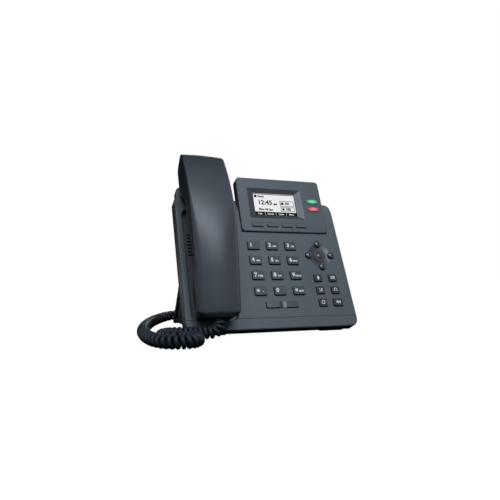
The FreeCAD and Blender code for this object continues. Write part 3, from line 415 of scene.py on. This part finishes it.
def strokes(lines, across, up, out, width):
    """Printed pictogram: flat strokes of one width, drawn in millimetres about a middle, as a mesh."""
    flatness = 0.06
    data = bpy.data.curves.new("strokes", "CURVE")
    data.dimensions = "3D"
    data.bevel_depth = width / 2
    data.bevel_resolution = 1
    data.use_fill_caps = True
    for points in lines:
        spline = data.splines.new("POLY")
        spline.points.add(len(points) - 1)
        for point, (x, y) in zip(spline.points, points):
            point.co = (x, y, 0, 1)
    drawing = bpy.data.objects.new("strokes", data)
    bpy.context.collection.objects.link(drawing)
    bpy.context.view_layer.objects.active = drawing
    drawing.select_set(True)
    bpy.ops.object.convert(target="MESH")
    drawing = bpy.context.object
    drawing.data.transform(set_down(panel_lean, across, up, out) @ Matrix.Diagonal((1, 1, flatness, 1)))
    drawing.select_set(False)
    return drawing


def arc(x, y, radius, start, end, count=10):
    """Points of a circle's arc, from one angle to another."""
    angles = [math.radians(start + (end - start) * step / count) for step in range(count + 1)]
    return [(x + radius * math.cos(angle), y + radius * math.sin(angle)) for angle in angles]


def printed(marks, name, body, finish):
    """Joins the marks of one legend, gives them their finish and lets them move with a body."""
    bpy.ops.object.select_all(action="DESELECT")
    for mark in marks:
        mark.select_set(True)
    bpy.context.view_layer.objects.active = marks[0]
    if len(marks) > 1:
        bpy.ops.object.join()
    legend = bpy.context.object
    legend.name = name
    legend.data.materials.clear()
    legend.data.materials.append(finish)
    legend.select_set(False)
    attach(legend, body)


# White ink: opaque and half matt, slightly uneven where the pad left it
ink, tree, shader = new_material("white_pad_print_ink", {"Roughness": 0.5})
tint = two_tones(tree, "dfe2e4", "f6f7f8", size=0.8)
tree.links.new(tint, shader.inputs["Base Color"])
ink_lift = 0.02
digit_left = 3.2
digit_height = 4.3
digit_weight = 0.22
drawn_digit_width = 0.85
letters_right = 2.2
letters_down = 1.2
letters_height = 1.6
letters_weight = 0.12
key_letters = {"key_2": "ABC", "key_3": "DEF", "key_4": "GHI", "key_5": "JKL", "key_6": "MNO",
               "key_7": "PQRS", "key_8": "TUV", "key_9": "WXYZ", "key_hash": "SEND"}
star_marks = [[(-1.9, 0), (1.9, 0)], [(-1.0, 1.7), (1.0, -1.7)], [(-1.0, -1.7), (1.0, 1.7)],
              [(4.9, -1.2), (5.9, -1.2)]]
hash_marks = [[(-1.6, -0.6), (1.6, -0.6)], [(-1.6, 0.7), (1.6, 0.7)], [(-0.9, -1.6), (-0.5, 1.7)],
              [(0.5, -1.6), (0.9, 1.7)]]
drawn_digits = {"key_star": star_marks, "key_hash": hash_marks}
legend_out = digit_top + ink_lift
for key, (across, up) in digit_places.items():
    if key in drawn_digits:
        marks = [strokes(drawn_digits[key], across - digit_left, up, legend_out, drawn_digit_width)]
    else:
        digit = key.removeprefix("key_")
        marks = [lettering(digit, panel_lean, across - digit_left, up, legend_out, digit_height,
                           digit_weight)]
    if key in key_letters:
        marks.append(lettering(key_letters[key], panel_lean, across + letters_right, up - letters_down,
                               legend_out, letters_height, letters_weight))
    printed(marks, "legend_" + key, key + "_body", ink)

pictogram_width = 0.8
mute_marks = [arc(0, 0.9, 0.8, 0, 360), arc(0, 0.7, 1.5, 200, 340), [(0, -0.8), (0, -1.9)],
              [(-0.9, -1.9), (0.9, -1.9)], [(0, 0.2), (0, 1.6)]]
envelope_marks = [[(-2.1, -1.4), (2.1, -1.4), (2.1, 1.4), (-2.1, 1.4), (-2.1, -1.4)],
                  [(-2.1, 1.4), (0, -0.2), (2.1, 1.4)]]
transfer_marks = [[(-2.0, -1.6), (-0.4, -1.6), (1.6, 1.4)], [(0.5, 1.5), (1.7, 1.5), (1.7, 0.3)],
                  [(-2.0, 1.5), (-0.7, 0.6)], [(0.6, -1.0), (2.0, -1.6)]]
headset_marks = [arc(0, 0.1, 1.8, -60, 240), [(-1.8, 0.2), (-1.8, -1.0)], [(1.8, 0.2), (1.8, -1.0)]]
redial_marks = [arc(0, 0, 1.8, 20, 165), arc(0, 0, 1.8, 200, 345), [(1.0, 0.9), (1.7, 0.6), (2.2, 1.3)],
                [(-1.0, -0.9), (-1.7, -0.6), (-2.2, -1.3)]]
speaker_marks = [[(-2.2, -0.7), (-1.2, -0.7), (0.1, -1.8), (0.1, 1.8), (-1.2, 0.7), (-2.2, 0.7),
                  (-2.2, -0.7)],
                 [(-1.5, 0), (-0.2, 0.6), (-0.2, -0.6), (-1.5, 0)], arc(0.2, 0, 1.2, -50, 50),
                 arc(0.2, 0, 2.2, -50, 50)]
pictograms = {"mute_key": mute_marks, "message_key": envelope_marks, "transfer_key": transfer_marks,
              "hold_key": headset_marks, "redial_key": redial_marks, "speaker_key": speaker_marks}
for key, (across, up) in function_places.items():
    picture = strokes(pictograms[key], across, up, function_top + ink_lift, pictogram_width)
    printed([picture], "legend_" + key, key + "_body", ink)

# Navigation buttons and the dished ring between them. Black ABS, polished in the mould; the buttons are
# crowned, so that each takes a small clear highlight, and the floor under the middle one is painted darkest,
# as painted shade in the recess.
nav_abs = moulded_abs("polished_button_abs", "1a1f25", "1f242b", grain=0.5, depth=0.02, roughness=0.22,
                      shine=0.6)
nav_middle = (65.5, 83.4)
nav_reach = 14.0
nav_top = 2.4
nav_radius = 3.35
nav_crown = 0.8
ok_top = 0.6
ok_radius = 3.05
ok_crown = 0.7
nav_ways = {"nav_up": (0, nav_reach), "nav_down": (0, -nav_reach), "nav_left": (-nav_reach, 0),
            "nav_right": (nav_reach, 0)}
dress([*nav_ways, "nav_ok"], nav_abs)


def crowned_cap(button, across, up, out, radius, height):
    """Crown of a round button, in millimetres: the top of a ball, cut off flat where it meets the button."""
    ball = (radius ** 2 + height ** 2) / (2 * height)
    bpy.ops.mesh.primitive_uv_sphere_add(segments=32, ring_count=48, radius=ball)
    cap = bpy.context.object
    cap.name = button + "_crown"
    bpy.ops.object.mode_set(mode="EDIT")
    bpy.ops.mesh.select_all(action="SELECT")
    bpy.ops.mesh.bisect(plane_co=(0, 0, ball - height), plane_no=(0, 0, 1), use_fill=True, clear_inner=True)
    bpy.ops.object.mode_set(mode="OBJECT")
    bpy.ops.object.shade_smooth_by_angle(angle=math.radians(20))
    cap.data.transform(set_down(panel_lean, across, up, out - (ball - height)))
    cap.data.materials.append(nav_abs)
    cap.select_set(False)
    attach(cap, button + "_body")


for button, (right, high) in nav_ways.items():
    crowned_cap(button, nav_middle[0] + right, nav_middle[1] + high, nav_top, nav_radius, nav_crown)
crowned_cap("nav_ok", *nav_middle, ok_top, ok_radius, ok_crown)

# The ring's floor round the middle button is painted darker, as painted shade in its recess.
ring_floor_radius = 7.4
ring_floor_shade_colour = "14181d"
ring_abs = moulded_abs("polished_ring_abs", "161a1f", "1b2026", grain=0.5, depth=0.0, roughness=0.34,
                       shine=1.0)
tree = ring_abs.node_tree
shader = tree.nodes["Principled BSDF"]
ring_tint = shader.inputs["Base Color"].links[0].from_socket
spot = add(tree, "ShaderNodeTexCoord")
ring_heart = panel_lean @ (Vector((*nav_middle, 0)) / 1000)
away = add(tree, "ShaderNodeVectorMath", {0: spot.outputs["Object"], 1: ring_heart}, operation="DISTANCE")
inside = add(tree, "ShaderNodeMath", {0: away.outputs["Value"], 1: ring_floor_radius / 1000},
             operation="LESS_THAN")
floor_shade_tint = add(tree, "ShaderNodeMix", {"Factor": inside.outputs["Value"], "A": ring_tint,
                                         "B": linear(ring_floor_shade_colour)}, data_type="RGBA")
tree.links.new(floor_shade_tint.outputs["Result"], shader.inputs["Base Color"])
dress(["nav_ring"], ring_abs)

# Volume rocker. One ABS cap under the keypad that tips to either side, polished in the mould, so that it
# shines more than the keys above it.
rocker_abs = moulded_abs("polished_rocker_abs", "343b43", "394048", grain=0.5, depth=0.02, roughness=0.3,
                         shine=0.5)
# The rocker's sides are painted darker, as painted shade of the gap round it.
painted_side_shade(rocker_abs, panel_out, "12151a")
dress(["volume_rocker"], rocker_abs)


# Lit line keys. Clear polycarbonate pills, pressed from behind through the screen's frame, with a lamp behind
# each that makes them brightest in the middle.
def lit_pill(name, edge, middle, across, up):
    """Lit light pipe about a place on the screen housing; its glow falls off more across it than along it."""
    glow_falls = (130, 330, 330)
    glow_from = 0.3
    glow_to = 0.95
    pill_top = 7.0
    material, tree, shader = new_material(name, {"Emission Strength": 0.4, "Roughness": 0.35, "IOR": 1.58})
    spot = add(tree, "ShaderNodeTexCoord")
    heart = screen_lean @ (Vector((across, up, pill_top)) / 1000)
    shifted = add(tree, "ShaderNodeVectorMath", {0: spot.outputs["Object"], 1: heart}, operation="SUBTRACT")
    flat = add(tree, "ShaderNodeVectorMath", {0: shifted.outputs["Vector"], 1: glow_falls},
               operation="MULTIPLY")
    away = add(tree, "ShaderNodeVectorMath", {0: flat.outputs["Vector"]}, operation="LENGTH")
    glow = add(tree, "ShaderNodeValToRGB", {"Fac": away.outputs["Value"]})
    glow.color_ramp.elements[0].position = glow_from
    glow.color_ramp.elements[0].color = linear(middle)
    glow.color_ramp.elements[1].position = glow_to
    glow.color_ramp.elements[1].color = linear(edge)
    tree.links.new(glow.outputs["Color"], shader.inputs["Base Color"])
    tree.links.new(glow.outputs["Color"], shader.inputs["Emission Color"])
    return material


pill_across = 68.45
dress(["line_key_1"], lit_pill("lit_green_polycarbonate", "1f6e48", "6fcf9f", pill_across, up=151.9))
dress(["line_key_2"], lit_pill("lit_red_polycarbonate", "8a2338", "d77486", pill_across, up=141.8))

# Screen. A backlit monochrome panel under a clear acrylic window, both held in the screen's frame; its dark
# marks are a film on the panel, with a dark frame round its edge that is painted shade of the window's lip,
# and the words on the dark strip are left clear.

# Backlit panel: a pale glow, a little uneven over 20 mm because its lamp is at the edge
backlight, tree, shader = new_material("backlit_lcd_panel", {"Base Color": linear("2a2c2e"), "Roughness": 0.6,
                                                             "Emission Strength": 1.0})
tint = two_tones(tree, "f0f2f3", "fbfcfc", size=20.0)
tree.links.new(tint, shader.inputs["Emission Color"])
dress(["lcd_module"], backlight)

# Clear acrylic: hardly seen apart from a weak shine, with wipe marks of 8 mm, so it is mostly let through
window, tree, shader = new_material("clear_acrylic_window", {"Base Color": linear("20242a"), "Alpha": 0.08,
                                                             "IOR": 1.49})
spot = add(tree, "ShaderNodeTexCoord")
wipe = add(tree, "ShaderNodeTexNoise", {"Vector": spot.outputs["Object"], "Scale": 1000 / 8.0})
haze = add(tree, "ShaderNodeMapRange", {"Value": wipe.outputs["Fac"], "To Min": 0.04, "To Max": 0.08})
tree.links.new(haze.outputs["Result"], shader.inputs["Roughness"])
dress(["lcd_lens"], window)

# Liquid crystal turned dark: matt and almost black, with cells of 0.4 mm that hardly differ; the same ink
# paints the shade under the window's lip round the screen's edge
lcd_ink, tree, shader = new_material("dark_liquid_crystal", {"Roughness": 0.8, "Specular IOR Level": 0.15})
tint = two_tones(tree, "050608", "0b0d10", size=0.4)
tree.links.new(tint, shader.inputs["Base Color"])
screen_half_width = 25.8
screen_half_height = 14.4
screen_left = window_middle.x - screen_half_width
screen_low = window_middle.y - screen_half_height
film_out = 1.53
film_thick = 0.02


def film(left, low, right, high):
    """Flat dark area on the screen, in millimetres from its lower left corner."""
    across = screen_left + (left + right) / 2
    up = screen_low + (low + high) / 2
    bpy.ops.mesh.primitive_cube_add(size=1)
    patch = bpy.context.object
    patch.data.transform(set_down(screen_lean, across, up, film_out)
                         @ Matrix.Diagonal((right - left, high - low, film_thick, 1)))
    patch.select_set(False)
    return patch


def words_on_screen(words, left, middle, height, weight, out=film_out, align="LEFT"):
    """Words on the screen, in millimetres from its lower left corner."""
    return lettering(words, screen_lean, screen_left + left, screen_low + middle, out, height, weight, align)


def frame_on_screen(left, low, right, high, line):
    """Thin dark outline of a box on the screen."""
    return [film(left, low, right, low + line), film(left, high - line, right, high),
            film(left, low + line, left + line, high - line),
            film(right - line, low + line, right, high - line)]


screen_marks = [
    words_on_screen("12:45", left=5.4, middle=17.6, height=5.6, weight=0.24),
    words_on_screen("am", left=24.8, middle=16.2, height=2.6, weight=0.24),
    words_on_screen("Mon 06 Jan", left=5.8, middle=8.8, height=2.6, weight=0.18),
    words_on_screen("Ready", left=6.2, middle=25.5, height=2.2, weight=0.18),
    words_on_screen("101", left=38.8, middle=17.3, height=3.0, weight=0.24),
    words_on_screen("102", left=39.2, middle=9.8, height=3.0, weight=0.24),
    film(left=1.9, low=24.1, right=5.0, high=27.3),
    film(left=34.2, low=15.6, right=37.6, high=18.9),
    film(left=34.8, low=8.4, right=37.6, high=11.2),
]
screen_marks += frame_on_screen(left=32.8, low=13.6, right=50.4, high=20.8, line=0.6)
screen_marks += frame_on_screen(left=33.2, low=6.9, right=50.4, high=12.7, line=0.6)
# Dark frame round the screen's edge: painted shade of the gap under the window's lip.
screen_marks += frame_on_screen(left=-0.3, low=-0.3, right=52.7, high=29.1, line=0.9)
strip_words = ["Calls", "Names", "Quiet", "Menu"]
strip_pitch = 13.0
strip_margin = 0.1
strip_right = 12.8
strip_high = 5.8
word_middle = (6.4, 3.1)
word_height = 1.9
word_weight = 0.05
word_lift = 0.03
for place in range(len(strip_words)):
    start = strip_pitch * place
    screen_marks.append(film(strip_margin + start, strip_margin, strip_right + start, strip_high))
printed(screen_marks, "screen_dark_marks", "base", lcd_ink)
strip_marks = [words_on_screen(word, word_middle[0] + strip_pitch * place, word_middle[1], word_height,
                               word_weight, film_out + word_lift, "CENTER")
               for place, word in enumerate(strip_words)]
printed(strip_marks, "screen_soft_labels", "base", backlight)

# Inside and underside. Boards, key mat, rubber feet, screws, capsules, sockets and plugs, which are screwed,
# pressed or clipped in, each in its own ordinary finish.

# Circuit board: green solder resist, half glossy, with copper tracks that show paler at a spacing of 6 mm
board, tree, shader = new_material("green_solder_resist", {"Roughness": 0.35})
spot = add(tree, "ShaderNodeTexCoord")
tracks = add(tree, "ShaderNodeTexBrick", {"Vector": spot.outputs["Object"], "Scale": 1000 / 6.0,
                                          "Color1": linear("1d5a33"), "Color2": linear("225f39"),
                                          "Mortar": linear("2f7a48")})
tree.links.new(tracks.outputs["Color"], shader.inputs["Base Color"])
dress(["main_board", "screen_board"], board)

# Silicone rubber: matt and nearly black, with a bloom in patches of 3 mm
silicone, tree, shader = new_material("matt_silicone_rubber", {"Roughness": 0.85, "Specular IOR Level": 0.2})
tint = two_tones(tree, "0e0f11", "17181b", size=3.0, detail=3.0)
tree.links.new(tint, shader.inputs["Base Color"])
dress(["keypad_mat", "stand_pads", "front_feet"], silicone)

# Zinc plate on steel: bright grey, with a spangle of 0.6 mm that breaks up its shine
zinc, tree, shader = new_material("zinc_plated_steel", {"Base Color": linear("b9bbbe"), "Metallic": 1.0})
spot = add(tree, "ShaderNodeTexCoord")
spangle = add(tree, "ShaderNodeTexNoise", {"Vector": spot.outputs["Object"], "Scale": 1000 / 0.6})
worn = add(tree, "ShaderNodeMapRange", {"Value": spangle.outputs["Fac"], "To Min": 0.25, "To Max": 0.45})
tree.links.new(worn.outputs["Result"], shader.inputs["Roughness"])
dress(["housing_screws", "handset_screws"], zinc)

# Painted steel of the capsules, glossy nylon of the sockets and smoked polycarbonate of the plugs: all black,
# and each with less grain than the case
basket = moulded_abs("black_painted_steel", "202225", "26282b", grain=0.4, depth=0.1, roughness=0.4)
dress(["speaker_driver", "base_microphone", "receiver_capsule", "handset_microphone"], basket)
socket_nylon = moulded_abs("gloss_black_nylon", "101113", "141517", grain=0.6, depth=0.05, roughness=0.3)
dress(["handset_ports", "network_ports", "power_jack", "handset_jack"], socket_nylon)
plug_body = moulded_abs("smoked_polycarbonate", "111316", "16181b", grain=0.8, depth=0.04, roughness=0.5,
                        shine=0.15)
dress(["cord_handset_plug", "cord_base_plug"], plug_body)


# Studio. A floor of white paper and a white room, soft boxes in front, on the left and behind, and four dark
# cards on the left, on the right, above and on the floor, so that the phone doesn't mirror white all round.
def seen_white(tree):
    """1 where the camera sees a surface, straight, through glass or in a shine, and 0 for other light."""
    rays = add(tree, "ShaderNodeLightPath")
    direct = add(tree, "ShaderNodeMath", {0: rays.outputs["Is Camera Ray"],
                                          1: rays.outputs["Is Transmission Ray"]}, operation="MAXIMUM")
    seen = add(tree, "ShaderNodeMath", {0: direct.outputs["Value"], 1: rays.outputs["Is Glossy Ray"]},
               operation="MAXIMUM")
    return seen.outputs["Value"]


# White paper: matt, a little uneven over 60 mm, and white to the eye whatever light falls on it
paper_glow = 0.95
white, tree, shader = new_material("white_paper_sweep", {"Emission Color": linear("ffffff"),
                                                         "Roughness": 0.9})
tint = two_tones(tree, "626262", "666666", size=60.0)
bright = add(tree, "ShaderNodeMath", {0: seen_white(tree), 1: paper_glow}, operation="MULTIPLY")
tree.links.new(tint, shader.inputs["Base Color"])
tree.links.new(bright.outputs["Value"], shader.inputs["Emission Strength"])
bpy.ops.mesh.primitive_plane_add(size=8, location=(0, 0, 0))
floor = bpy.context.object
floor.name = "floor"
floor.data.materials.append(white)
floor.select_set(False)

room_light = 0.12
world = bpy.data.worlds.new("white_studio")
world.use_nodes = True
bpy.context.scene.world = world
tree = world.node_tree
tree.nodes.clear()
level = add(tree, "ShaderNodeMapRange", {"Value": seen_white(tree), "To Min": room_light, "To Max": 1.0})
sky = add(tree, "ShaderNodeBackground", {"Color": linear("ffffff"), "Strength": level.outputs["Result"]})
add(tree, "ShaderNodeOutputWorld", {"Surface": sky.outputs["Background"]})


def soft_box(name, place, width, height, power):
    """Area lamp at a place, turned to the middle of the phone."""
    phone_middle = Vector((0, 0, 0.09))
    bpy.ops.object.light_add(type="AREA", location=place)
    lamp = bpy.context.object
    lamp.name = name
    lamp.data.shape = "RECTANGLE"
    lamp.data.size = width
    lamp.data.size_y = height
    lamp.data.energy = power
    lamp.rotation_euler = (phone_middle - Vector(place)).to_track_quat("-Z", "Y").to_euler()
    lamp.select_set(False)


soft_box("front_soft_box", place=(0.15, -0.72, 0.77), width=0.4, height=0.4, power=3.3)
soft_box("left_soft_box", place=(-0.24, -0.57, 0.86), width=0.65, height=0.35, power=4.4)
soft_box("rear_soft_box", place=(0.40, 0.90, 0.55), width=0.6, height=0.6, power=5.5)

# Black felt on card: no shine at all, with a nap of 5 mm that hardly shows
felt, tree, shader = new_material("black_felt_card", {"Roughness": 1.0, "Specular IOR Level": 0.0})
tint = two_tones(tree, "050505", "0a0a0a", size=5.0)
tree.links.new(tint, shader.inputs["Base Color"])


def flag(name, place, aim, width, height):
    """Dark card that neither the camera nor the lamps see, between the phone and a part of the white room."""
    bpy.ops.mesh.primitive_plane_add(size=1)
    card = bpy.context.object
    card.name = name
    facing = (Vector(aim) - Vector(place)).to_track_quat("Z", "Y").to_matrix().to_4x4()
    card.data.transform(Matrix.Translation(place) @ facing @ Matrix.Diagonal((width, height, 1, 1)))
    card.data.materials.append(felt)
    card.visible_camera = False
    card.visible_transmission = False
    card.visible_shadow = False
    card.select_set(False)


flag("left_flag", place=(-0.34, 0.42, 0.36), aim=(-0.06, 0.0, 0.1), width=0.9, height=0.7)
flag("right_flag", place=(0.50, -0.60, 0.80), aim=(0.05, 0.0, 0.1), width=0.6, height=0.6)
flag("top_flag", place=(0.0, 0.20, 0.80), aim=(0.0, 0.0, 0.1), width=0.7, height=0.5)
flag("floor_flag", place=(-0.10, 0.15, 0.0004), aim=(-0.10, 0.15, 1.0), width=0.8, height=1.0)

bpy.context.scene.view_settings.view_transform = "Standard"
